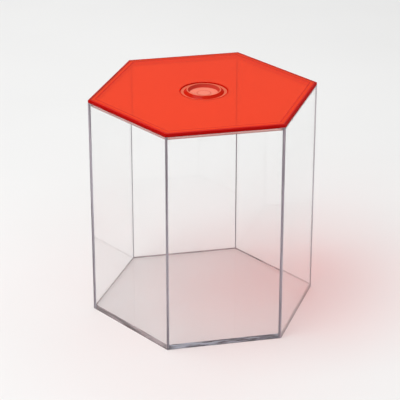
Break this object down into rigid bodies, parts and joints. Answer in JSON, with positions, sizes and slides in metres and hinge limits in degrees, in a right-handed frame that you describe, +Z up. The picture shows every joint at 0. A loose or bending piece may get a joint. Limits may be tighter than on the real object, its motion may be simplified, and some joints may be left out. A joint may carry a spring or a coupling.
{
  "type": "rock tumbler barrel",
  "caption": "Clear hexagonal barrel or canister with a flush translucent red lift-off lid and a round push-in plug in the lid's centre.",
  "frame": {"origin": "centre of the barrel's underside, on the surface it stands on", "axes": "+Z up through the lid and plug; two corners of the hexagon lie on the X axis, so flat sides face -Y (front) and +Y (rear)"},
  "size_m": [0.1502, 0.13, 0.1509],
  "materials": {
    "clear_wall": "clear polished sheet plastic with fine handling scratches",
    "clear_floor": "clear sheet plastic, a little scuffed, with a patchy cement line along its edge",
    "clear_strip": "clear sheet plastic offcuts with sawn lower edges",
    "red_lid": "translucent orange-red sheet plastic, polished",
    "red_plug": "translucent orange-red moulded plastic, glossy"
  },
  "bodies": {
    "barrel": {"wall_right_rear": "clear_wall", "wall_rear": "clear_wall", "wall_left_rear": "clear_wall", "wall_left_front": "clear_wall", "wall_front": "clear_wall", "wall_right_front": "clear_wall", "floor_plate": "clear_floor"},
    "lid": {"lid_plate": "red_lid", "lid_strip_right_rear": "clear_strip", "lid_strip_rear": "clear_strip", "lid_strip_left_rear": "clear_strip", "lid_strip_left_front": "clear_strip", "lid_strip_front": "clear_strip", "lid_strip_right_front": "clear_strip"},
    "plug": {"lid_plug": "red_plug"}
  },
  "joints": [
    {"name": "lid_lift", "type": "slide", "parent": "barrel", "child": "lid", "axis": [0, 0, 1], "range_m": [0, 0.06]},
    {"name": "plug_pull", "type": "slide", "parent": "lid", "child": "plug", "axis": [0, 0, 1], "range_m": [0, 0.03]}
  ]
}
